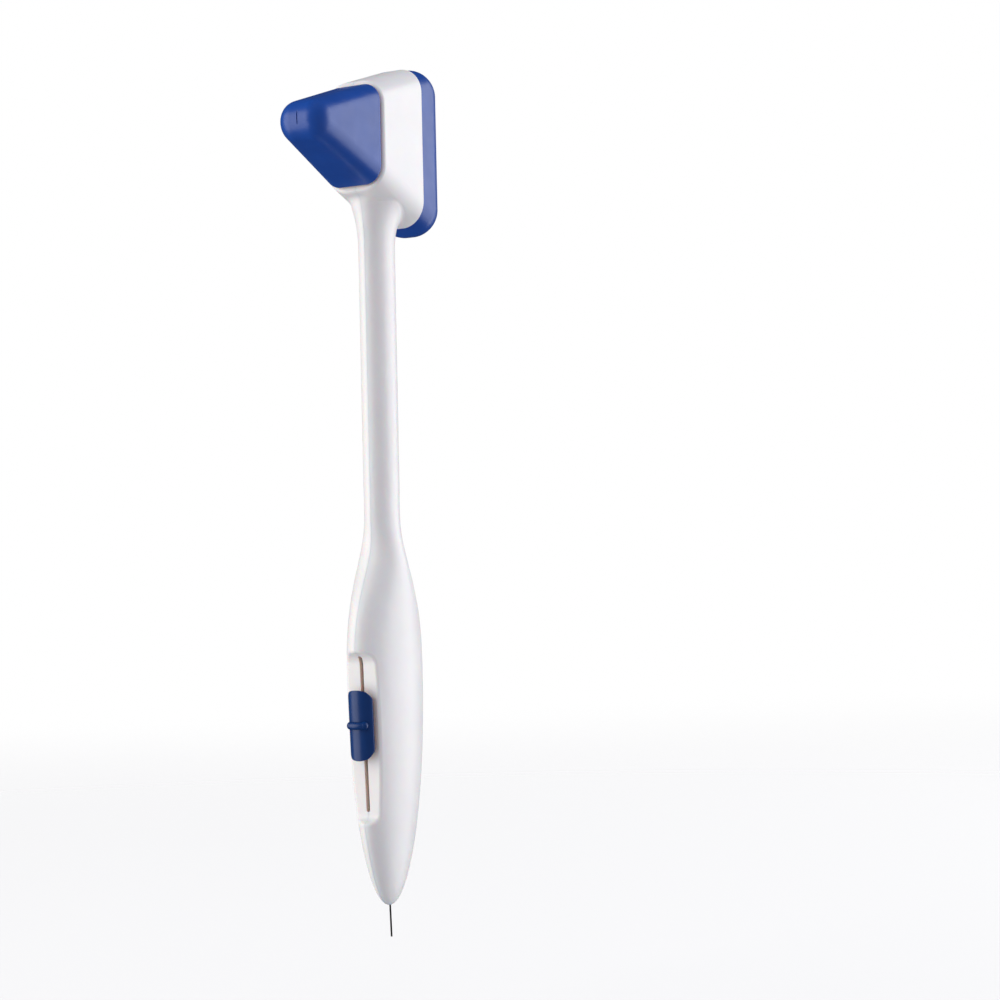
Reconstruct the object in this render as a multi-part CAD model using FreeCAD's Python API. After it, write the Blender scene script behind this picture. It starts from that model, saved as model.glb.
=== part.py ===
import FreeCAD, Part
import math
import os

# Reflex hammer with a retractable monofilament, as an assembly of separate pieces.
#
# Frame: +Z runs up the shaft from the tip of the handle to the head, the pointed nose strikes towards -X and
# the flat back strikes towards +X. The origin is on the shaft's axis at the widest section of the handle,
# where the hand holds it. Lengths are millimetres. Inside this file heights are measured up from the tip of
# the handle, and every piece is moved down by grip_height when it is written.
#
# The slide and all that moves with it run along a line that passes through the tip and leans from the shaft's
# axis by slide_lean towards the front. Those pieces are drawn along +Z and then leant with lean().

Vector = FreeCAD.Vector
AXIS_X, AXIS_Y, AXIS_Z = Vector(1, 0, 0), Vector(0, 1, 0), Vector(0, 0, 1)
ORIGIN = Vector(0, 0, 0)
FAR = 60.0  # half the size of a block that has to reach past the whole section

# ---------------------------------------------------------------- driving dimensions
# Handle: an ellipsoid below its widest section, thinning to the shaft above it.
grip_height = 52.0
handle_width = 27.2
handle_thickness = 12.6
neck_height = 86.0  # where the width has become the shaft's
neck_height_side = 90.0  # where the thickness has become the shaft's
width_blend = 1.6  # how late the width thins: 1 is a plain cosine
thickness_blend = 3.0
shell_wall = 1.7
neck_sections = 10  # the loft's sections up the neck

# Shaft
shaft_width = 10.4
shaft_width_top = 11.1
shaft_thickness = 7.6
shaft_sections = 9

# Head: a wedge lying along X, cut into nose, collar and back.
head_height = 178.8
wedge_angle = 19.4
collar_length = 18.2
collar_thickness = 16.0
collar_front_height = 25.8
collar_corner_radius = 5.8
collar_front_edge_radius = 0.9
collar_rear_edge_radius = 0.35
collar_end_wall = 2.2
flare_length = 10.0  # the shaft widens over this much below the collar
flare_spread = 1.6  # how much the shaft widens there
flare_radius = 1.8

# Rubber strikers
striker_gap = 0.4
nose_inset = 0.95
nose_side_inset = 0.35
nose_length = 23.9
nose_narrowing = 3.1  # the tip is this much thinner than the base
nose_edge_radius = 4.3
nose_line_height = 3.8  # short moulding mark across the tip
nose_line_width = 0.25
nose_line_depth = 0.3
back_inset = 0.6
back_length = 11.5
back_edge_radius = 6.0
back_corner_radius = 6.3
striker_base_radius = 0.5
plug_wall = 1.9  # of the collar round the plug's flange
plug_flange = 0.9  # the flange stands out from the neck
plug_flange_length = 2.4
plug_corner_radius = 4.0

# Weight and core rod
weight_length = 6.0
weight_wall = 2.1  # of the collar round the weight
rod_diameter = 4.0
rod_engagement = 8.0
rod_bottom_height = 90.0

# Thumb recess and slot
slide_lean = 3.0
recess_floor = 7.65  # from the filament's line forward to the floor
recess_bottom = 20.6
recess_top = 59.5
recess_bottom_radius = 1.7
recess_top_radius = 2.8
recess_wall = 1.5
lip_radius = 0.8
slot_width = 0.95
slot_bottom = 22.8
slot_top = 58.7

# Thumb slide, at rest part way down
slide_height = 43.0
slide_travel_up = 7.7
slide_travel_down = 12.6
pad_length = 16.2
pad_width = 6.3
pad_thickness = 2.95
pad_side_height = 1.1
pad_corner_radius = 1.3
pad_end_bevel = 1.6  # the underside is this much shorter at each end
pad_edge_radius = 0.9
pad_lift = 0.25
rib_radius = 0.88
rib_ball_radius = 0.95
rib_rise = 1.05
rib_half_angle = 28.0
blade_thickness = 0.7
blade_length = 14.0
blade_depth = 3.0  # into the carrier

# Carrier and what it holds
carrier_length = 14.0
carrier_width = 3.7
carrier_back = 1.5  # behind the filament's line
wing_front = 2.5
wing_back = 0.8
wing_width = 6.0
wing_length = 12.0
pin_diameter = 1.0
pin_spacing = 8.0
spring_thickness = 0.25
spring_width = 2.4
spring_rise = 1.4
spring_foot = 4.0
spring_arch = 7.0
rivet_diameter = 1.2
rivet_head_diameter = 2.0
rivet_head_height = 0.35
rivet_depth = 1.0
detent_radius = 0.45

# Filament and its guides
filament_diameter = 0.42
filament_out = 7.4  # how far it stands out of the tip at rest
ferrule_diameter = 1.6
ferrule_length = 8.0
ferrule_grip = 4.5  # the length of ferrule inside the carrier
filament_seat = 0.5  # the filament stops this far short of the ferrule's top
tube_diameter = 1.2
tube_bottom = 2.5
tube_length = 16.5
bush_diameter = 2.4
bush_flange_diameter = 3.4
bush_length = 5.0
bush_flange_length = 1.5
exit_diameter = 0.75
tip_solid_height = 10.5
tube_rib_height = 16.0
tube_rib_length = 1.4

# Rails, detent web and shell pegs
rail_width = 1.1
rail_clearance = 0.1
web_thickness = 1.2
peg_diameter = 1.6
peg_length = 2.0
boss_diameter = 3.8
lower_peg = (7.2, 30.0)
upper_peg = (6.4, 64.0)

# Clearances, on each side
fit_clearance = 0.1  # between still pieces
snug_clearance = 0.03
running_clearance = 0.08
filament_clearance = 0.05

# ---------------------------------------------------------------- worked out from them
wedge_slope = math.tan(math.radians(wedge_angle))
collar_front = -collar_length / 2
collar_back = collar_length / 2
nose_thickness = collar_thickness - 2 * nose_side_inset
nose_tip_thickness = nose_thickness - nose_narrowing
back_thickness = collar_thickness - 2 * back_inset
collar_step = (collar_thickness - shaft_thickness) / 2  # from the shaft's side out to the collar's

# Roundings never take more than a share of the material that they are cut from.
collar_corner = min(collar_corner_radius, 0.37 * collar_thickness)
flare_rounding = min(flare_radius, 0.45 * collar_step)
flare_widening = min(flare_spread, 0.4 * collar_step)
back_edge = min(back_edge_radius, 0.42 * back_thickness)
back_corner = min(back_corner_radius, 0.43 * back_thickness)


def collar_half_height(x):
    """Half the wedge's height at x, on the collar's own outline."""
    return collar_front_height / 2 + (x - collar_front) * wedge_slope


# ---------------------------------------------------------------- helpers
def lean(shape):
    """Turns a piece drawn along +Z onto the slide's line."""
    leant = shape.copy()
    leant.rotate(ORIGIN, AXIS_Y, -slide_lean)
    return leant


def box(x0, x1, y0, y1, z0, z1):
    return Part.makeBox(x1 - x0, y1 - y0, z1 - z0, Vector(x0, y0, z0))


def rod(radius, z0, z1, x=0.0, y=0.0):
    return Part.makeCylinder(radius, z1 - z0, Vector(x, y, z0), AXIS_Z)


def cross_rod(radius, y0, y1, x, z):
    return Part.makeCylinder(radius, y1 - y0, Vector(x, y0, z), AXIS_Y)


def prism(points, direction):
    """A closed polygon pushed along direction."""
    wire = Part.makePolygon([Vector(*p) for p in points] + [Vector(*points[0])])
    return Part.Face(wire).extrude(direction)


def rounded_rectangle(x, half_y, half_z, radius, z_centre):
    """A wire in the plane of that x."""
    corners = [(1, 1), (-1, 1), (-1, -1), (1, -1)]
    arcs = []
    for index, (sign_y, sign_z) in enumerate(corners):
        centre = Vector(x, sign_y * (half_y - radius), z_centre + sign_z * (half_z - radius))
        first = math.radians(90 * index)
        ends = [centre + Vector(0, radius * math.cos(first + t), radius * math.sin(first + t))
                for t in (0.0, math.pi / 4, math.pi / 2)]
        arcs.append(ends)
    edges = []
    for index, ends in enumerate(arcs):
        edges.append(Part.Arc(*ends).toShape())
        following = arcs[(index + 1) % len(arcs)][0]
        edges.append(Part.LineSegment(ends[2], following).toShape())
    return Part.Wire(edges)


def rounded_block(x0, x1, half_y, half_z, radius, z_centre):
    face = Part.Face(rounded_rectangle(x0, half_y, half_z, radius, z_centre))
    return face.extrude(Vector(x1 - x0, 0, 0))


def edges_where(shape, test):
    """The edges whose middle point passes the test."""
    found = []
    for edge in shape.Edges:
        middle = edge.valueAt((edge.FirstParameter + edge.LastParameter) / 2)
        if test(middle, edge):
            found.append(edge)
    return found


def half_of(shape, side):
    """The half of a shape on the -Y side (side -1) or the +Y side (side 1)."""
    low, high = (-FAR, 0.0) if side < 0 else (0.0, FAR)
    return shape.common(box(-FAR, FAR, low, high, -FAR, head_height + FAR))


# ---------------------------------------------------------------- the body's outline
def blend(start, end, height, end_height, lateness):
    """From start at the grip to end at end_height, level at both."""
    share = min(1.0, max(0.0, (height - grip_height) / (end_height - grip_height)))
    return end + (start - end) * (1 + math.cos(math.pi * share ** lateness)) / 2


def half_sizes(height):
    """Half the width and half the thickness of the handle or shaft at a height above the grip."""
    under_collar = head_height - collar_half_height(0.0)
    up_shaft = min(1.0, max(0.0, (height - neck_height) / (under_collar - neck_height)))
    shaft_here = shaft_width + (shaft_width_top - shaft_width) * up_shaft
    half_width = blend(handle_width, shaft_here, height, neck_height, width_blend) / 2
    half_thickness = blend(handle_thickness, shaft_thickness, height, neck_height_side, thickness_blend) / 2
    return half_width, half_thickness


def ellipse_section(half_width, half_thickness, height, slope_angle=0.0):
    """An ellipse round the shaft's axis, whose plane falls towards +X by slope_angle."""
    stretched = half_width / math.cos(math.radians(slope_angle))
    wire = Part.Wire([Part.Ellipse(ORIGIN, stretched, half_thickness).toShape()])
    wire.rotate(ORIGIN, AXIS_Y, slope_angle)
    wire.translate(Vector(0, 0, height))
    return wire


def grip_ellipsoid(half_width, half_thickness, half_length):
    """An ellipsoid centred on the grip, cut off at the grip."""
    stretch = FreeCAD.Matrix()
    stretch.scale(half_width, half_thickness, half_length)
    whole = Part.makeSphere(1.0).transformGeometry(stretch)
    whole.translate(Vector(0, 0, grip_height))
    return whole.common(box(-FAR, FAR, -FAR, FAR, grip_height - half_length - 1, grip_height))


def handle_and_shaft():
    """The handle below the grip, and one loft from the grip to inside the collar."""
    lower = grip_ellipsoid(handle_width / 2, handle_thickness / 2, grip_height)
    flare_end = head_height - collar_half_height(0.0)
    flare_start = flare_end - flare_length
    neck, straight = neck_height_side - grip_height, flare_start - neck_height_side
    heights = [grip_height + neck * i / neck_sections for i in range(neck_sections + 1)]
    heights += [neck_height_side + straight * i / shaft_sections for i in range(1, shaft_sections + 1)]
    sections = [ellipse_section(*half_sizes(height), height) for height in heights]
    half_width, half_thickness = half_sizes(flare_start)
    for share in (0.2, 0.4, 0.6, 0.8, 1.0, 1.2):
        spread = flare_widening * share ** 2.5
        height = flare_start + flare_length * share
        tilt = wedge_angle * min(1.0, share) ** 2
        sections.append(ellipse_section(half_width + spread, half_thickness + spread, height, tilt))
    upper = Part.makeLoft(sections, True, False)
    return lower.fuse(upper)


def joined_outside():
    """The whole white body before it is hollowed, with its flare and its recess."""
    collar, stem = collar_block(), handle_and_shaft()
    outside = stem.fuse(collar)
    meeting = edges_where(outside, lambda p, edge: on_skin(p, stem) and on_skin(p, collar))
    outside = outside.makeFillet(flare_rounding, meeting)
    recess = recess_profile(0.0)
    cut = outside.cut(recess)
    lips = edges_where(cut, lambda p, edge: on_skin(p, outside) and on_skin(p, recess))
    return cut.makeFillet(lip_radius, lips)


def on_skin(point, shape):
    """Whether a point lies on a shape's surface."""
    return shape.Shells[0].distToShape(Part.Vertex(point))[0] < 0.01


def wedge_block(x0, half_height0, x1, thickness):
    """A block at the head's height, whose half height grows from half_height0 at the wedge's angle."""
    half_height1 = half_height0 + (x1 - x0) * wedge_slope
    block = prism(
        [(x0, 0, -half_height0), (x0, 0, half_height0), (x1, 0, half_height1), (x1, 0, -half_height1)],
        Vector(0, thickness, 0),
    )
    block.translate(Vector(0, -thickness / 2, head_height))
    return block


def collar_block():
    """The white wedge between the two strikers."""
    block = wedge_block(collar_front, collar_front_height / 2, collar_back, collar_thickness)
    corners = edges_where(
        block, lambda p, edge: abs(p.x) < collar_length / 4 and abs(p.y) > collar_thickness / 2 - 0.01
    )
    block = block.makeFillet(collar_corner, corners)
    front_rim = edges_where(block, lambda p, edge: abs(p.x - collar_front) < 0.01)
    block = block.makeFillet(collar_front_edge_radius, front_rim)
    rear_rim = edges_where(block, lambda p, edge: abs(p.x - collar_back) < 0.01)
    return block.makeFillet(collar_rear_edge_radius, rear_rim)


def recess_profile(grow):
    """The thumb recess, leant and grown inwards by grow, as a block across the handle."""
    floor = -recess_floor + grow
    top, bottom = recess_top + grow, recess_bottom - grow
    top_radius, bottom_radius = recess_top_radius + grow, recess_bottom_radius + grow
    diagonal = math.sqrt(0.5)

    def cove(x_end, z_end, radius, sign):
        centre = Vector(floor - radius, 0, z_end - sign * radius)
        middle = centre + Vector(radius * diagonal, 0, sign * radius * diagonal)
        return Vector(x_end, 0, z_end), middle, Vector(floor, 0, z_end - sign * radius)

    top_arc = cove(floor - top_radius, top, top_radius, 1)
    bottom_arc = cove(floor - bottom_radius, bottom, bottom_radius, -1)
    outside_top, outside_bottom = Vector(-FAR, 0, top), Vector(-FAR, 0, bottom)
    edges = [
        Part.LineSegment(outside_top, top_arc[0]).toShape(),
        Part.Arc(*top_arc).toShape(),
        Part.LineSegment(top_arc[2], bottom_arc[2]).toShape(),
        Part.Arc(*reversed(bottom_arc)).toShape(),
        Part.LineSegment(bottom_arc[0], outside_bottom).toShape(),
        Part.LineSegment(outside_bottom, outside_top).toShape(),
    ]
    block = Part.Face(Part.Wire(edges)).extrude(Vector(0, 2 * FAR, 0))
    block.translate(Vector(0, -FAR, 0))
    return lean(block)


def slot_cutter():
    """The narrow slot in the recess floor, with round ends."""
    radius = slot_width / 2
    back = -recess_floor + recess_wall + 1
    slab = box(-FAR, back, -radius, radius, slot_bottom + radius, slot_top - radius)
    for height in (slot_bottom + radius, slot_top - radius):
        slab = slab.fuse(Part.makeCylinder(radius, FAR + back, Vector(-FAR, 0, height), AXIS_X))
    return lean(slab)


# ---------------------------------------------------------------- inside the body
def handle_cavity():
    """The hollow of the handle, a wall in from its outside and clear of the recess."""
    lower = grip_ellipsoid(
        handle_width / 2 - shell_wall, handle_thickness / 2 - shell_wall, grip_height - shell_wall
    )
    lower = lower.cut(box(-FAR, FAR, -FAR, FAR, -FAR, tip_solid_height))
    top = neck_height - (neck_height - grip_height) / 4
    steps = 5
    sections = []
    for i in range(steps + 1):
        height = grip_height + (top - grip_height) * i / steps
        half_width, half_thickness = half_sizes(height)
        sections.append(ellipse_section(half_width - shell_wall, half_thickness - shell_wall, height))
    upper = Part.makeLoft(sections, True, False)
    return lower.fuse(upper).cut(recess_profile(recess_wall))


def slide_ribs():
    """Rails for the carrier's wings, the detent web behind it and a rib that steadies the guide tube."""
    low = slide_height - slide_travel_down - carrier_length / 2 - 2
    high = slide_height + slide_travel_up + carrier_length / 2 + 2
    inner = carrier_width / 2 + running_clearance
    ribs = []
    for side in (-1, 1):
        y0, y1 = sorted((side * inner, side * FAR))
        front = -wing_front - rail_clearance
        back = wing_back + rail_clearance
        ribs.append(box(front - rail_width, front, y0, y1, low, high))
        ribs.append(box(back, back + rail_width, y0, y1, low, high))
    web_front = carrier_back + spring_rise + running_clearance
    web = box(web_front, web_front + web_thickness, -FAR, FAR, low, high)
    middle = slide_height - spring_foot / 2
    for shift in (slide_travel_up, 0.0, -slide_travel_down):
        web = web.cut(cross_rod(detent_radius, -FAR, FAR, web_front, middle + shift))
    ribs.append(web)
    ribs.append(box(-FAR, FAR, -FAR, FAR, tube_rib_height, tube_rib_height + tube_rib_length))
    return [lean(rib) for rib in ribs]


def pegs():
    """(x, height) of each pair of boss and peg."""
    return [lower_peg, upper_peg]


def guide_cutters():
    """Seats of the bush and the guide tube, and the hole that the filament leaves by."""
    exit_hole = rod(exit_diameter / 2, -5.0, tube_bottom + 0.5)
    bush = bush_shape(fit_clearance / 2)
    tube = rod(tube_diameter / 2 + fit_clearance / 2, tube_bottom, tube_rib_height + tube_rib_length + 1)
    return [lean(exit_hole), lean(bush), lean(tube)]


def bush_shape(grow):
    """The tip bush's outside."""
    barrel = rod(bush_diameter / 2 + grow, tube_bottom - grow, tube_bottom + bush_length + grow)
    top = tube_bottom + bush_length
    flange = rod(bush_flange_diameter / 2 + grow, top - bush_flange_length - grow, top + grow)
    return barrel.fuse(flange)


def head_pockets():
    """The openings and pockets that hold the strikers' plugs and the weight."""
    cutters = [plug_shape(-1, fit_clearance), plug_shape(1, fit_clearance), weight_shape(fit_clearance)]
    cutters.append(rod_shape(snug_clearance))
    return cutters


def plug_shape(side, grow):
    """A striker's plug, grown by grow for its pocket: a neck and a flange. Side -1 is the nose's."""
    face = side * collar_length / 2
    inner = face - side * collar_end_wall
    flange_end = inner - side * plug_flange_length
    half_y = collar_thickness / 2 - plug_wall + grow
    half_z = min(collar_half_height(inner), collar_half_height(flange_end)) - plug_wall + grow
    radius = plug_corner_radius + grow
    neck_ends = sorted((face + side * striker_gap, inner - side * plug_flange_length / 2))
    flange_ends = sorted((inner - side * (fit_clearance - grow), flange_end - side * grow))
    neck = rounded_block(
        *neck_ends, half_y - plug_flange, half_z - plug_flange, radius - plug_flange, head_height
    )
    flange = rounded_block(*flange_ends, half_y, half_z, radius, head_height)
    return neck.fuse(flange).removeSplitter()


def weight_half_height():
    return collar_half_height(-weight_length / 2) - weight_wall


def weight_shape(grow):
    """The weight, grown by grow for its pocket, with corners that follow the collar's."""
    end = weight_length / 2 + grow
    half_y = collar_thickness / 2 - weight_wall + grow
    radius = collar_corner - weight_wall + grow
    return rounded_block(-end, end, half_y, weight_half_height() + grow, radius, head_height)


def rod_shape(grow):
    top = head_height - weight_half_height() + rod_engagement
    return rod(rod_diameter / 2 + grow, rod_bottom_height - grow, top)


# ---------------------------------------------------------------- the pieces
def body_shells():
    """The left (-Y) and right (+Y) halves of the white body."""
    outside = joined_outside()
    cavity = handle_cavity()
    whole = outside.cut(cavity)
    ribs = slide_ribs()
    bosses = [cross_rod(boss_diameter / 2, -FAR, FAR, x, z) for x, z in pegs()]
    inside = [piece.common(cavity) for piece in ribs + bosses]
    whole = whole.fuse(inside)
    whole = whole.cut(slide_space())
    whole = whole.cut(guide_cutters() + head_pockets() + [slot_cutter()])
    left, right = half_of(whole, -1), half_of(whole, 1)
    for x, z in pegs():
        left = left.fuse(cross_rod(peg_diameter / 2, -0.5, peg_length, x, z))
        hole = cross_rod(peg_diameter / 2 + snug_clearance, -0.5, peg_length + fit_clearance, x, z)
        right = right.cut(hole)
    return left, right


def slide_space():
    """Room swept by the carrier between its rails."""
    low = slide_height - slide_travel_down - carrier_length / 2 - 1
    high = slide_height + slide_travel_up + carrier_length / 2 + 1
    half = carrier_width / 2 + running_clearance
    return lean(box(-recess_floor + recess_wall, carrier_back, -half, half, low, high))


def nose_bumper():
    """Pointed rubber striker: a wedge with a round tip, narrowing towards it, and a captured plug."""
    base = collar_front - striker_gap
    half_height = collar_half_height(collar_front) - nose_inset
    angle = math.radians(wedge_angle)
    tip_radius = (half_height - nose_length * math.tan(angle)) / (1 / math.cos(angle) - math.tan(angle))
    centre = base - nose_length + tip_radius
    touch = Vector(centre - tip_radius * math.sin(angle), 0, tip_radius * math.cos(angle))
    corner = Vector(base, 0, half_height)

    def mirrored(p):
        return Vector(p.x, 0, -p.z)

    edges = [
        Part.LineSegment(mirrored(corner), corner).toShape(),
        Part.LineSegment(corner, touch).toShape(),
        Part.Arc(touch, Vector(centre - tip_radius, 0, 0), mirrored(touch)).toShape(),
        Part.LineSegment(mirrored(touch), mirrored(corner)).toShape(),
    ]
    wedge = Part.Face(Part.Wire(edges)).extrude(Vector(0, nose_thickness, 0))
    wedge.translate(Vector(0, -nose_thickness / 2, head_height))
    tip = base - nose_length
    sides = prism(
        [
            (base, -nose_thickness / 2, 0),
            (base, nose_thickness / 2, 0),
            (tip, nose_tip_thickness / 2, 0),
            (tip, -nose_tip_thickness / 2, 0),
        ],
        Vector(0, 0, head_height + FAR),
    )
    wedge = wedge.common(sides)

    def along(p, edge):
        inside = p.x < base - 0.01
        return inside and abs(p.y) > nose_tip_thickness / 2 - 0.01

    wedge = wedge.makeFillet(nose_edge_radius, edges_where(wedge, along))
    base_edges = edges_where(wedge, lambda p, edge: abs(p.x - base) < 0.01)
    wedge = wedge.makeFillet(striker_base_radius, base_edges)
    mark = box(
        tip - 1, tip + nose_line_depth,
        -nose_line_width / 2, nose_line_width / 2,
        head_height - nose_line_height / 2, head_height + nose_line_height / 2,
    )
    return wedge.cut(mark).fuse(plug_shape(-1, 0)).removeSplitter()


def back_bumper():
    """Broad rubber striker with a rounded back and a captured plug."""
    base = collar_back + striker_gap
    end = base + back_length
    block = wedge_block(base, collar_half_height(collar_back) - back_inset, end, back_thickness)
    corners = edges_where(
        block,
        lambda p, edge: base + 0.01 < p.x < end - 0.01 and abs(p.y) > back_thickness / 2 - 0.01,
    )
    block = block.makeFillet(back_corner, corners)
    block = block.makeFillet(back_edge, edges_where(block, lambda p, edge: abs(p.x - end) < 0.01))
    base_edges = edges_where(block, lambda p, edge: abs(p.x - base) < 0.01)
    block = block.makeFillet(striker_base_radius, base_edges)
    return block.fuse(plug_shape(1, 0)).removeSplitter()


def head_weight():
    return weight_shape(0).cut(rod_shape(0))


def core_rod():
    return rod_shape(0)


def thumb_slide():
    """The coloured thumb pad with its cross rib, and the blade that passes through the slot."""
    base = -recess_floor - pad_lift
    half_width = pad_width / 2
    crown_rise = pad_thickness - pad_side_height
    shoulder = base - pad_side_height
    crown = base - pad_thickness
    crown_radius = (half_width ** 2 + crown_rise ** 2) / (2 * crown_rise)
    low = slide_height - pad_length / 2
    high = slide_height + pad_length / 2
    edges = [
        Part.LineSegment(Vector(base, -half_width, low), Vector(base, half_width, low)).toShape(),
        Part.LineSegment(Vector(base, half_width, low), Vector(shoulder, half_width, low)).toShape(),
        Part.Arc(
            Vector(shoulder, half_width, low), Vector(crown, 0, low), Vector(shoulder, -half_width, low)
        ).toShape(),
        Part.LineSegment(Vector(shoulder, -half_width, low), Vector(base, -half_width, low)).toShape(),
    ]
    pad = Part.Face(Part.Wire(edges)).extrude(Vector(0, 0, pad_length))
    ends = prism(
        [
            (base, -FAR, low + pad_end_bevel), (base, -FAR, high - pad_end_bevel),
            (crown, -FAR, high), (crown, -FAR, low),
        ],
        Vector(0, 2 * FAR, 0),
    )
    pad = pad.common(ends)

    def upright(p, edge):
        outer = shoulder < p.x < base and abs(p.y) > half_width - 0.01
        return outer and abs(p.z - slide_height) > 1

    corners = edges_where(pad, upright)
    pad = pad.makeFillet(pad_corner_radius, corners)
    crown_face = max(pad.Faces, key=lambda face: face.Area)
    pad = pad.makeFillet(pad_edge_radius, crown_face.Edges)
    ring = crown_radius + rib_rise - rib_radius
    centre = Vector(crown + crown_radius, 0, slide_height)
    rib = Part.makeTorus(ring, rib_radius, centre, AXIS_Z, -180, 180, 2 * rib_half_angle)
    rib.rotate(centre, AXIS_Z, 180 - rib_half_angle)
    for sign in (-1, 1):
        turn = math.radians(sign * rib_half_angle)
        end = centre + Vector(-ring * math.cos(turn), ring * math.sin(turn), 0)
        rib = rib.fuse(Part.makeSphere(rib_ball_radius, end))
    blade = box(
        base - 0.3, -recess_floor + recess_wall + blade_depth,
        -blade_thickness / 2, blade_thickness / 2,
        slide_height - blade_length / 2, slide_height + blade_length / 2,
    )
    whole = pad.fuse([rib, blade]).cut(pin_cutters())
    return lean(whole.removeSplitter())


def carrier_front():
    return -recess_floor + recess_wall + running_clearance


def pin_places():
    x = carrier_front() + blade_depth / 2
    return [(x, slide_height + sign * pin_spacing / 2) for sign in (-1, 1)]


def pin_cutters():
    return [cross_rod(pin_diameter / 2, -FAR, FAR, x, z) for x, z in pin_places()]


def slide_pins():
    half = carrier_width / 2 - fit_clearance
    pins = [cross_rod(pin_diameter / 2, -half, half, x, z) for x, z in pin_places()]
    return lean(Part.makeCompound(pins))


def slide_carrier():
    """The runner inside the handle: it takes the blade, the ferrule, and the spring on its back."""
    low = slide_height - carrier_length / 2
    high = slide_height + carrier_length / 2
    half = carrier_width / 2
    body = box(carrier_front(), carrier_back, -half, half, low, high)
    wings = box(
        -wing_front, wing_back, -wing_width / 2, wing_width / 2,
        slide_height - wing_length / 2, slide_height + wing_length / 2,
    )
    blade_half = blade_thickness / 2 + snug_clearance
    pocket = box(
        carrier_front() - 1, -recess_floor + recess_wall + blade_depth + snug_clearance,
        -blade_half, blade_half, low - 1, high + 1,
    )
    ferrule_hole = rod(ferrule_diameter / 2, low - 1, low + ferrule_grip)
    x, z = rivet_place()
    rivet_hole = Part.makeCylinder(rivet_diameter / 2, rivet_depth, Vector(x - rivet_depth, 0, z), AXIS_X)
    return lean(body.fuse(wings).cut([pocket, ferrule_hole, rivet_hole] + pin_cutters()).removeSplitter())


def rivet_place():
    return carrier_back, slide_height + carrier_length / 2 - spring_foot / 2 - 0.5


def detent_spring():
    """A leaf on the carrier's back: a flat foot under the rivet, then an arch whose crest rides the web."""
    top = slide_height + carrier_length / 2 - 0.5
    foot_end = top - spring_foot
    arch_end = foot_end - spring_arch
    middle = (foot_end + arch_end) / 2
    inner, outer = carrier_back, carrier_back + spring_thickness
    crest = carrier_back + spring_rise
    heights = [top, foot_end, arch_end]
    points = [Vector(inner, 0, z) for z in heights] + [Vector(outer, 0, z) for z in reversed(heights)]
    under_crest = Vector(crest - spring_thickness, 0, middle)
    edges = [
        Part.LineSegment(points[0], points[1]).toShape(),
        Part.Arc(points[1], under_crest, points[2]).toShape(),
        Part.LineSegment(points[2], points[3]).toShape(),
        Part.Arc(points[3], Vector(crest, 0, middle), points[4]).toShape(),
        Part.LineSegment(points[4], points[5]).toShape(),
        Part.LineSegment(points[5], points[0]).toShape(),
    ]
    leaf = Part.Face(Part.Wire(edges)).extrude(Vector(0, spring_width, 0))
    leaf.translate(Vector(0, -spring_width / 2, 0))
    x, z = rivet_place()
    hole = Part.makeCylinder(
        rivet_diameter / 2, 2 * spring_thickness, Vector(x - spring_thickness / 2, 0, z), AXIS_X
    )
    return lean(leaf.cut(hole))


def spring_rivet():
    x, z = rivet_place()
    shank = Part.makeCylinder(
        rivet_diameter / 2, rivet_depth + spring_thickness, Vector(x - rivet_depth, 0, z), AXIS_X
    )
    head = Part.makeCylinder(
        rivet_head_diameter / 2, rivet_head_height, Vector(x + spring_thickness, 0, z), AXIS_X
    )
    return lean(shank.fuse(head).removeSplitter())


def ferrule_top():
    return slide_height - carrier_length / 2 + ferrule_grip


def filament_ferrule():
    top = ferrule_top()
    sleeve = rod(ferrule_diameter / 2, top - ferrule_length, top)
    return lean(sleeve.cut(rod(filament_diameter / 2, top - ferrule_length - 1, top - filament_seat)))


def monofilament():
    return lean(rod(filament_diameter / 2, -filament_out, ferrule_top() - filament_seat))


def guide_tube():
    top = tube_bottom + tube_length
    outside = rod(tube_diameter / 2, tube_bottom, top)
    bore = rod(filament_diameter / 2 + filament_clearance, tube_bottom - 1, top + 1)
    return lean(outside.cut(bore))


def tip_bush():
    return lean(bush_shape(0).cut(rod(tube_diameter / 2, 0, tube_bottom + bush_length + 1)))


def write(name, shape):
    """Moves a piece from the tip's heights to the grip's, and writes it."""
    placed = shape.copy()
    placed.translate(Vector(0, 0, -grip_height))
    solids = placed.Solids
    exported = solids[0] if len(solids) == 1 else Part.makeCompound(solids)
    exported.exportStep(f"parts/{name}.step")
    volume = sum(solid.Volume for solid in solids)
    print(f"{name}: {len(solids)} solid(s), {volume:.2f} mm3, valid {exported.isValid()}")


def main():
    os.makedirs("parts", exist_ok=True)
    left, right = body_shells()
    write("left_body_shell", left)
    write("right_body_shell", right)
    for make in (
        nose_bumper, back_bumper, head_weight, core_rod, thumb_slide, slide_pins, slide_carrier,
        detent_spring, spring_rivet, filament_ferrule, monofilament, guide_tube, tip_bush,
    ):
        write(make.__name__, make())


main()
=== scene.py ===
import math

import bpy
from mathutils import Matrix, Vector


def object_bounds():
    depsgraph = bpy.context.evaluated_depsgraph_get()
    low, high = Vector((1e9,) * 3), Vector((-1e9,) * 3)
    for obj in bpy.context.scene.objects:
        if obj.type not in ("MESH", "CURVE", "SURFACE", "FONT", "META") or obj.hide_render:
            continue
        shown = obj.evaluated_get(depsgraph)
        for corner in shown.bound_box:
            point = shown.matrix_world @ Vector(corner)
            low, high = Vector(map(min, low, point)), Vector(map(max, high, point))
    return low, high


# Looks for the reflex hammer: materials for the CAD nodes, the floor, the lights and the camera.
# Everything is in metres in the CAD's frame: +Z up the shaft, the nose towards -X, and the origin
# on the shaft's axis at the widest section of the handle. Textures count in millimetres.

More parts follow.
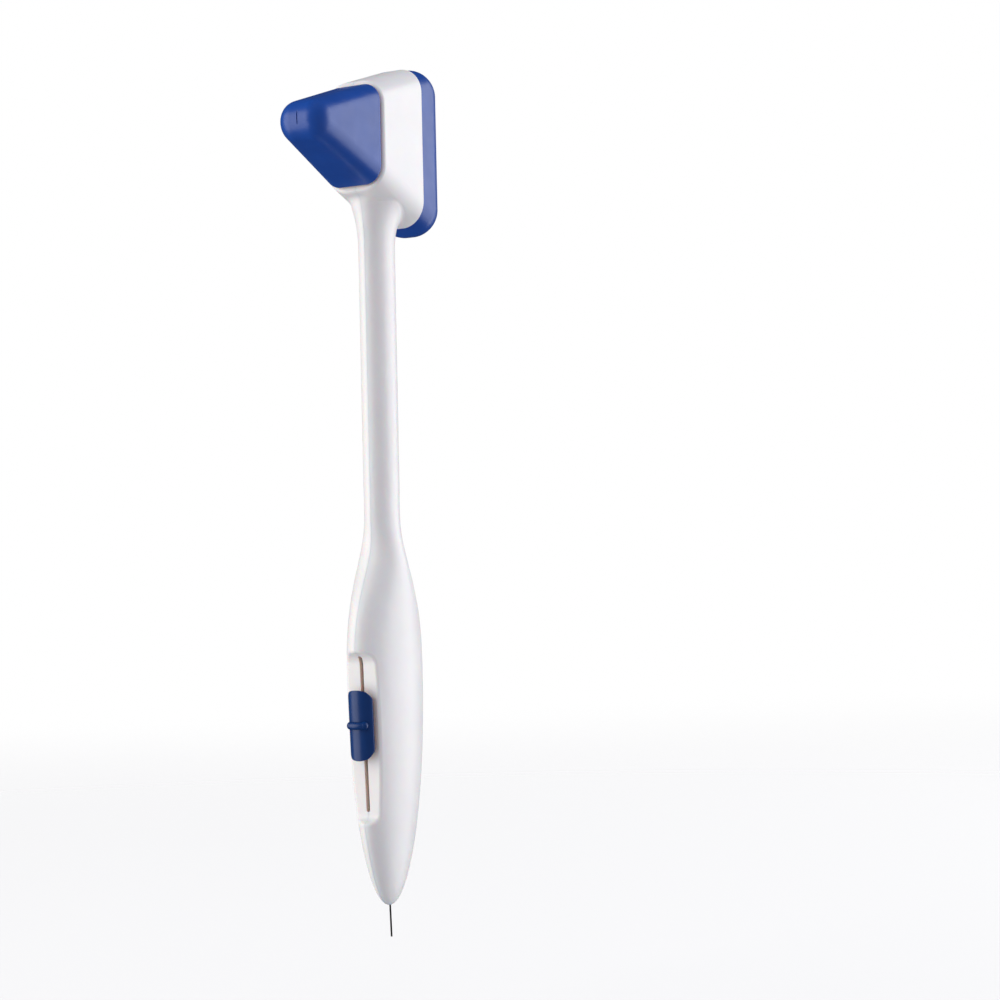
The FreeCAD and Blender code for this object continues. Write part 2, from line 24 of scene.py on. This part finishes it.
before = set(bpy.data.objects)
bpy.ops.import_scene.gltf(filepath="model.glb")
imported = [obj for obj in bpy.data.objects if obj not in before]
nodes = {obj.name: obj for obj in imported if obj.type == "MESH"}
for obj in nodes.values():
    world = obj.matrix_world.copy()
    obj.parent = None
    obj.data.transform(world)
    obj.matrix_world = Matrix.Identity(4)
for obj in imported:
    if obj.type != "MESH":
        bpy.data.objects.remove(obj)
cad_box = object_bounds()
UP = Vector((0, 0, 1))
MILLIMETRES = 1000  # in a metre


# ---------------------------------------------------------------- camera
CAMERA_AZIMUTH = -59.48  # degrees round from the -Y side
CAMERA_DISTANCE = 0.4998
CAMERA_HEIGHT = 0.0203
CAMERA_SIDE = 0.0041
CAMERA_YAW = 2.712  # degrees to the right of the shaft's axis
CAMERA_PITCH = 2.463  # degrees up
CAMERA_ROLL = -1.314
CAMERA_LENS = 76.56  # millimetres, like the sensor's width
CAMERA_SENSOR = 36.0
CAMERA_NEAR = 0.01
CAMERA_FAR = 50.0


def across(azimuth):
    """(towards a viewer at this azimuth, that viewer's right)"""
    turn = math.radians(azimuth)
    towards = Vector((math.sin(turn), -math.cos(turn), 0))
    return towards, Vector((math.cos(turn), math.sin(turn), 0))


def make_camera():
    data = bpy.data.cameras.new("camera")
    camera = bpy.data.objects.new("camera", data)
    bpy.context.scene.collection.objects.link(camera)
    back, right = across(CAMERA_AZIMUTH)
    position = back * CAMERA_DISTANCE + UP * CAMERA_HEIGHT + right * CAMERA_SIDE
    straight = Matrix((right, UP, back)).transposed().to_4x4()
    yaw = Matrix.Rotation(math.radians(-CAMERA_YAW), 4, "Y")
    pitch = Matrix.Rotation(math.radians(CAMERA_PITCH), 4, "X")
    roll = Matrix.Rotation(math.radians(CAMERA_ROLL), 4, "Z")
    camera.matrix_world = Matrix.Translation(position) @ straight @ yaw @ pitch @ roll
    data.lens = CAMERA_LENS
    data.sensor_width = CAMERA_SENSOR
    data.clip_start = CAMERA_NEAR
    data.clip_end = CAMERA_FAR
    bpy.context.scene.camera = camera


# ---------------------------------------------------------------- materials
NOISE_RANGE = (0.3, 0.7)  # most of a noise's values lie between these


class Shader:
    """A principled material with a short way to add and join nodes."""

    def __init__(self, name):
        self.material = bpy.data.materials.new(name)
        self.material.use_nodes = True
        self.tree = self.material.node_tree
        self.surface = self.tree.nodes["Principled BSDF"]

    def add(self, kind, inputs=None, **settings):
        node = self.tree.nodes.new(kind)
        for key, value in settings.items():
            setattr(node, key, value)
        for key, value in (inputs or {}).items():
            if isinstance(value, bpy.types.NodeSocket):
                self.tree.links.new(value, node.inputs[key])
            else:
                node.inputs[key].default_value = value
        return node

    def plug(self, socket, value):
        if isinstance(value, bpy.types.NodeSocket):
            self.tree.links.new(value, self.surface.inputs[socket])
        else:
            self.surface.inputs[socket].default_value = value

    def millimetres(self, stretch=(1, 1, 1)):
        place = self.add("ShaderNodeTexCoord").outputs["Object"]
        scale = tuple(MILLIMETRES * s for s in stretch)
        return self.add("ShaderNodeMapping", {"Vector": place, "Scale": scale}).outputs["Vector"]

    def noise(self, place, size, detail=3.0, roughness=0.55):
        """Noise whose blotches are about size millimetres."""
        inputs = {"Vector": place, "Scale": 1.0 / size, "Detail": detail, "Roughness": roughness}
        return self.add("ShaderNodeTexNoise", inputs).outputs["Fac"]

    def spread(self, value, span, out_low, out_high, blend="LINEAR"):
        """The value's span, stretched to run from out_low to out_high."""
        inputs = {"Value": value, "From Min": span[0], "From Max": span[1]}
        inputs |= {"To Min": out_low, "To Max": out_high}
        return self.add("ShaderNodeMapRange", inputs, interpolation_type=blend).outputs["Result"]

    def tint(self, factor, first, second):
        ramp = self.add("ShaderNodeValToRGB", {"Fac": factor})
        for stop, position, colour in zip(ramp.color_ramp.elements, NOISE_RANGE, (first, second)):
            stop.position = position
            stop.color = (*colour, 1)
        return ramp.outputs["Color"]

    def bump(self, height, strength, depth, normal=None):
        """Depth is in millimetres."""
        inputs = {"Height": height, "Strength": strength, "Distance": depth / MILLIMETRES}
        if normal is not None:
            inputs["Normal"] = normal
        return self.add("ShaderNodeBump", inputs).outputs["Normal"]


MOTTLING_SIZE = 9.0
SHEEN_SIZE = 3.2
FLOW_SIZE = 6.0  # the slow waves left by the melt's flow
FLOW_STRENGTH = 0.25
FLOW_DEPTH = 0.06
GRAIN_STRENGTH = 0.5
SEAM_LINE = (0.02, 0.09)  # full shade nearer the joint plane than the first, none past the second
SEAM_COLOUR = (0.45, 0.43, 0.42, 1)
SEAM_DARKNESS = 0.22
SEAM_GROOVE = (0.0, 0.08)
SEAM_STRENGTH = 0.4
SEAM_DEPTH = 0.03
CREVICE_DEPTH = 0.003  # metres: slots and corners this deep get painted warm shade, a colour stand-in for light through the white plastic
CREVICE_OPENNESS = (0.25, 0.85)  # full painted shade below the first, none above the second
# colour of the painted shade, multiplied into the white in slots and corners
PAINTED_CREVICE_SHADE = (1.0, 0.8, 0.68, 1)
GLOW_RADIUS = (1.0, 0.45, 0.28)  # red light goes further through plastic than blue
GLOW_SCALE = 0.0015  # metres


def moulded(name, first, second, gloss, grain, depth, specular=0.5, seam=False, glow_and_painted_shade=0.0):
    """Injection-moulded plastic or rubber: faint mottling, uneven sheen, the mould's fine texture.

    A seam is the faint line between the two shells. Glow is light through thin white plastic; when
    it is set, slots and corners also get painted warm shade.
    """
    shader = Shader(name)
    place = shader.millimetres()
    mottling = shader.noise(place, MOTTLING_SIZE, 4.0)
    colour = shader.tint(mottling, first, second)
    sheen = shader.noise(place, SHEEN_SIZE, 5.0, 0.6)
    shader.plug("Roughness", shader.spread(sheen, NOISE_RANGE, *gloss))
    flow = shader.bump(shader.noise(place, FLOW_SIZE, 2.0), FLOW_STRENGTH, FLOW_DEPTH)
    normal = shader.bump(shader.noise(place, grain, 2.0, 0.7), GRAIN_STRENGTH, depth, flow)
    if seam:
        across_seam = shader.add("ShaderNodeSeparateXYZ", {"Vector": place}).outputs["Y"]
        distance = shader.add("ShaderNodeMath", {0: across_seam}, operation="ABSOLUTE").outputs[0]
        line = shader.spread(distance, SEAM_LINE, 1.0, 0.0)
        inputs = {0: line, 1: SEAM_DARKNESS}
        darker = shader.add("ShaderNodeMath", inputs, operation="MULTIPLY").outputs[0]
        shade = {0: darker, 6: colour, 7: SEAM_COLOUR}
        colour = shader.add("ShaderNodeMix", shade, data_type="RGBA").outputs[2]
        groove = shader.spread(distance, SEAM_GROOVE, 0.0, 1.0)
        normal = shader.bump(groove, SEAM_STRENGTH, SEAM_DEPTH, normal)
    if glow_and_painted_shade:
        # painted warm shade: the colour is darkened and warmed where ambient occlusion finds slots
        # and corners
        around = {"Distance": CREVICE_DEPTH}
        openness = shader.add("ShaderNodeAmbientOcclusion", around).outputs["AO"]
        crevice_shade_mask = shader.spread(openness, CREVICE_OPENNESS, 1.0, 0.0)
        painted_shade_inputs = {0: crevice_shade_mask, 6: colour, 7: PAINTED_CREVICE_SHADE}
        mix = shader.add("ShaderNodeMix", painted_shade_inputs, data_type="RGBA", blend_type="MULTIPLY")
        colour = mix.outputs[2]
        shader.plug("Subsurface Weight", glow_and_painted_shade)
        shader.plug("Subsurface Radius", GLOW_RADIUS)
        shader.plug("Subsurface Scale", GLOW_SCALE)
    shader.plug("Base Color", colour)
    shader.plug("Specular IOR Level", specular)
    shader.plug("Normal", normal)
    return shader.material


STAIN_SIZE = 2.5
LINE_STRENGTH = 0.35
LINE_DEPTH = 0.01
STEEL = ((0.5, 0.5, 0.51), (0.62, 0.62, 0.63))
BRASS = ((0.72, 0.52, 0.22), (0.82, 0.62, 0.3))


def drawn_metal(name, first, second, gloss, stretch, grain):
    """Metal with fine lines left by drawing, rolling or turning.

    They run along an axis whose stretch is under 1, and across one whose stretch is over 1.
    """
    shader = Shader(name)
    lines = shader.noise(shader.millimetres(stretch), grain, 3.0, 0.7)
    stain = shader.noise(shader.millimetres(), STAIN_SIZE, 4.0)
    shader.plug("Base Color", shader.tint(stain, first, second))
    shader.plug("Metallic", 1.0)
    shader.plug("Roughness", shader.spread(lines, NOISE_RANGE, *gloss))
    shader.plug("Normal", shader.bump(lines, LINE_STRENGTH, LINE_DEPTH))
    return shader.material


def dress(material, *names):
    for name in names:
        mesh = nodes[name].data
        mesh.materials.clear()
        mesh.materials.append(material)


def dress_all():
    white = ((0.87, 0.865, 0.86), (0.9, 0.895, 0.89))
    shell = moulded("white_abs", *white, (0.3, 0.38), 0.16, 0.006, seam=True, glow_and_painted_shade=0.4)
    blue = ((0.002, 0.057, 0.33), (0.003, 0.07, 0.39))
    rubber = moulded("blue_tpr", *blue, (0.32, 0.42), 0.22, 0.01, specular=0.56)
    navy = ((0.002, 0.032, 0.15), (0.003, 0.042, 0.19))
    pad = moulded("blue_abs", *navy, (0.3, 0.38), 0.14, 0.005, specular=0.4)
    ivory = ((0.8, 0.78, 0.72), (0.86, 0.84, 0.79))
    acetal = moulded("natural_acetal", *ivory, (0.28, 0.36), 0.2, 0.006)
    black = ((0.004, 0.004, 0.004), (0.008, 0.008, 0.008))
    nylon = moulded("black_nylon", *black, (0.5, 0.6), 0.1, 0.002, specular=0.2)
    dress(shell, "left_body_shell", "right_body_shell")
    dress(rubber, "nose_bumper", "back_bumper")
    dress(pad, "thumb_slide")
    dress(acetal, "slide_carrier", "tip_bush")
    dress(nylon, "monofilament")
    dress(drawn_metal("sawn_steel", *STEEL, (0.35, 0.5), (1, 0.06, 1), 0.12), "head_weight")
    dress(drawn_metal("drawn_rod", *STEEL, (0.18, 0.34), (1, 1, 0.03), 0.1), "core_rod")
    dress(drawn_metal("needle_tube", *STEEL, (0.15, 0.3), (1, 1, 0.03), 0.05), "guide_tube")
    dress(drawn_metal("pin_steel", *STEEL, (0.18, 0.3), (1, 0.05, 1), 0.05), "slide_pins")
    dress(drawn_metal("spring_strip", *STEEL, (0.2, 0.34), (1, 1, 0.04), 0.06), "detent_spring")
    dress(drawn_metal("rivet_brass", *BRASS, (0.2, 0.34), (0.1, 1, 1), 0.06), "spring_rivet")
    dress(drawn_metal("turned_brass", *BRASS, (0.2, 0.34), (1, 1, 8), 0.3), "filament_ferrule")


# ---------------------------------------------------------------- floor and light
FLOOR_DROP = 0.02  # below the filament's tip at rest, so that it clears the floor when pushed out
FLOOR_RADIUS = 2.0
FLOOR_SIDES = 96
FLOOR_FADE = (0.0, 1.6)  # from the hammer outwards the floor melts into the white background
FLOOR_STRENGTH = 0.4
FLOOR_COLOUR = (0.95, 0.95, 0.95, 1)
FLOOR_ROUGHNESS = 0.9
FLOOR_SPECULAR = 0.1
AMBIENT = 0.46
AMBIENT_COLOUR = (0.93, 0.91, 1.0)
REFLECTED_AMBIENT = 0.05
REFLECTED_COLOUR = (0.9, 0.95, 1.0)
MIDDLE = Vector((0, 0, 0.045))  # where the lights point


def make_floor():
    height = cad_box[0][2] - FLOOR_DROP
    bpy.ops.mesh.primitive_circle_add(
        vertices=FLOOR_SIDES, radius=FLOOR_RADIUS, fill_type="NGON", location=(0, 0, height)
    )
    floor = bpy.context.active_object
    floor.name = "floor"
    shader = Shader("pale_floor")
    place = shader.add("ShaderNodeTexCoord").outputs["Object"]
    length = shader.add("ShaderNodeVectorMath", {0: place}, operation="LENGTH").outputs["Value"]
    shader.plug("Base Color", FLOOR_COLOUR)
    shader.plug("Roughness", FLOOR_ROUGHNESS)
    shader.plug("Specular IOR Level", FLOOR_SPECULAR)
    shader.plug("Alpha", shader.spread(length, FLOOR_FADE, FLOOR_STRENGTH, 0.0, "SMOOTHERSTEP"))
    floor.data.materials.append(shader.material)
    floor.visible_glossy = False
    floor.visible_diffuse = False


def make_world():
    """White where the camera sees it, dim as light on the hammer, nearly dark in reflections."""
    world = bpy.data.worlds.new("studio")
    bpy.context.scene.world = world
    world.use_nodes = True
    tree = world.node_tree
    tree.nodes.clear()
    path = tree.nodes.new("ShaderNodeLightPath")

    def sky(colour, strength):
        background = tree.nodes.new("ShaderNodeBackground")
        background.inputs["Color"].default_value = (*colour, 1)
        background.inputs["Strength"].default_value = strength
        return background.outputs[0]

    def chosen(ray, otherwise, wanted):
        mix = tree.nodes.new("ShaderNodeMixShader")
        tree.links.new(path.outputs[ray], mix.inputs["Fac"])
        tree.links.new(otherwise, mix.inputs[1])
        tree.links.new(wanted, mix.inputs[2])
        return mix.outputs[0]

    ambient = sky(AMBIENT_COLOUR, AMBIENT)
    lit = chosen("Is Glossy Ray", ambient, sky(REFLECTED_COLOUR, REFLECTED_AMBIENT))
    output = tree.nodes.new("ShaderNodeOutputWorld")
    seen = chosen("Is Camera Ray", lit, sky((1, 1, 1), 1.0))
    tree.links.new(seen, output.inputs["Surface"])


def softbox(name, azimuth, elevation, distance, size, radiance, tint=(1, 1, 1), gloss=True):
    """A rectangular light, width by height, that faces the hammer's middle."""
    data = bpy.data.lights.new(name, "AREA")
    data.shape = "RECTANGLE"
    data.size, data.size_y = size
    data.energy = radiance * math.pi * size[0] * size[1]
    data.color = tint
    light = bpy.data.objects.new(name, data)
    bpy.context.scene.collection.objects.link(light)
    flat, _ = across(azimuth)
    rise = math.radians(elevation)
    away = flat * math.cos(rise) + UP * math.sin(rise)
    light.location = MIDDLE + away * distance
    light.rotation_euler = away.to_track_quat("Z", "Y").to_euler()
    light.visible_camera = False
    light.visible_glossy = gloss


def make_lights():
    cream = (1.0, 0.96, 0.9)
    pale_blue = (0.82, 0.9, 1.0)
    softbox("right_softbox", 47, 6, 1.0, (0.95, 1.5), 2.45)
    softbox("left_softbox", -134, 3, 1.0, (1.05, 1.5), 2.4, tint=cream)
    softbox("top_fill", -20, 80, 1.0, (0.8, 0.8), 1.0, tint=pale_blue, gloss=False)
    softbox("back_fill", 125, 10, 1.4, (0.8, 0.8), 1.2, gloss=False)


make_camera()
dress_all()
make_floor()
make_world()
make_lights()
bpy.context.scene.view_settings.view_transform = "Standard"
